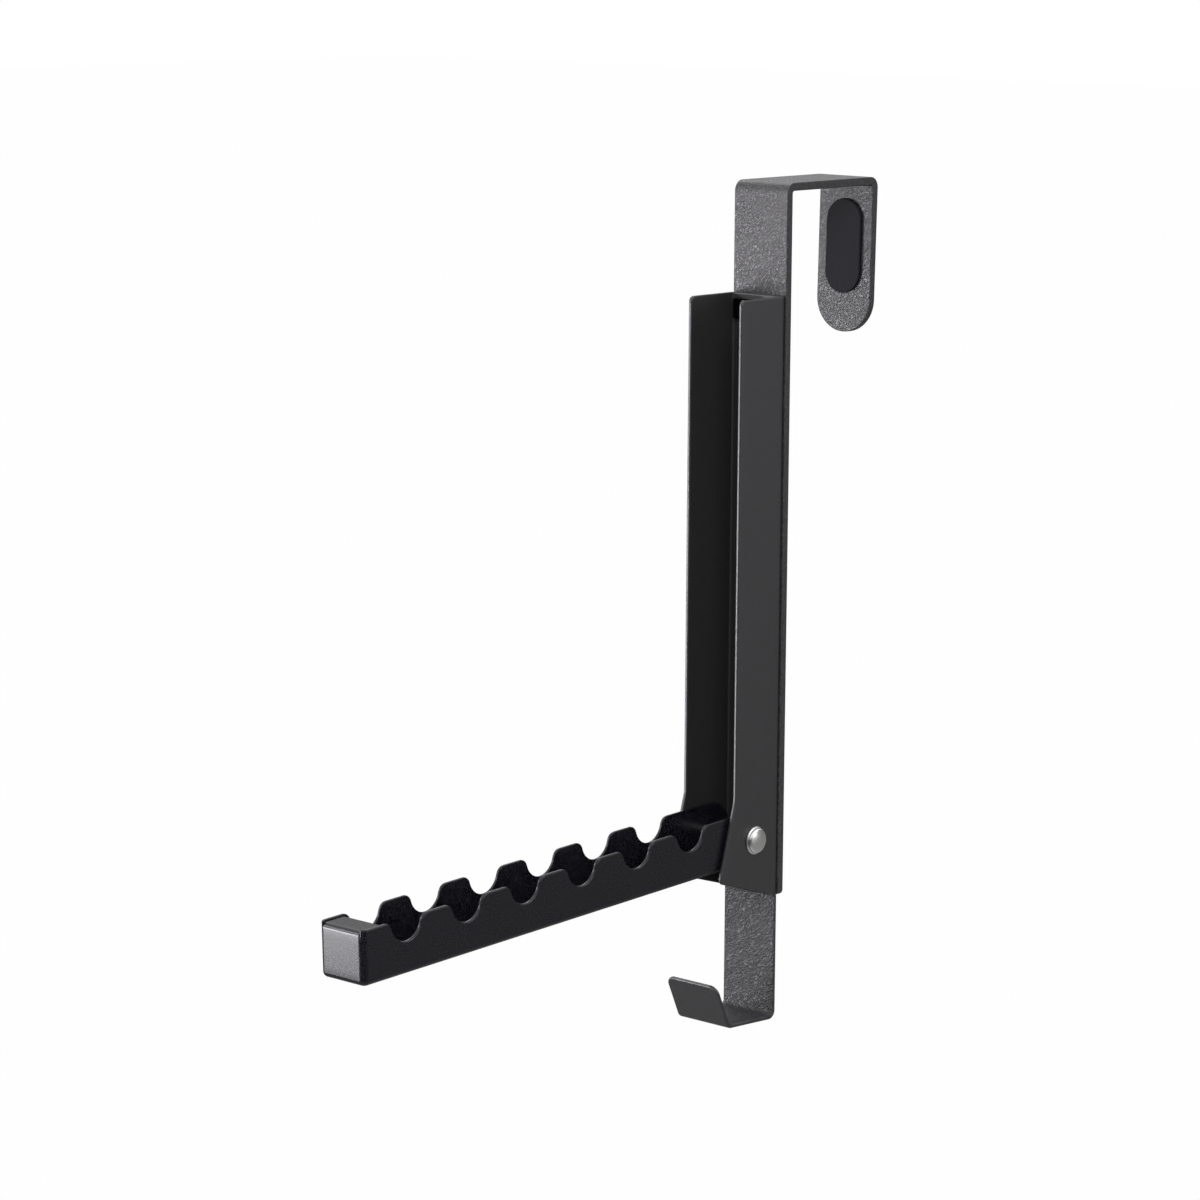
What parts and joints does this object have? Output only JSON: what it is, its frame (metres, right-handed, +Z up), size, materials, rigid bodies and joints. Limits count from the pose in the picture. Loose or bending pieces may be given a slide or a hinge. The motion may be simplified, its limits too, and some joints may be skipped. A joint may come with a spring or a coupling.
{
  "type": "over door hook",
  "caption": "Over door hook: a bent bar over the door's top carries a channel with a folding notched arm for hangers and a small hook below.",
  "frame": {"origin": "middle of the underside of the top plate, which rests on the door's top edge", "axes": "+Z up, -Y out from the door into the room, where the arm points, X along the door"},
  "size_m": [0.03, 0.2657, 0.31],
  "materials": {
    "coated_bar": "textured satin powder coat",
    "coated_sheet": "textured satin powder coat",
    "rivet_metal": "satin",
    "pad": "matte",
    "magnet": "matte"
  },
  "bodies": {
    "bracket": {"door_strap": "coated_bar", "tongue_pad": "pad", "channel_bracket": "coated_sheet", "tip_magnet": "magnet", "pivot_rivet": "rivet_metal", "leg_pad_upper": "pad", "leg_pad_lower": "pad"},
    "arm": {"folding_arm": "coated_sheet"}
  },
  "joints": [
    {"name": "arm_fold", "type": "hinge", "parent": "bracket", "child": "arm", "pos_m": [0, -0.04005, -0.2366], "axis": [-1, 0, 0], "range_deg": [0, 92]}
  ]
}
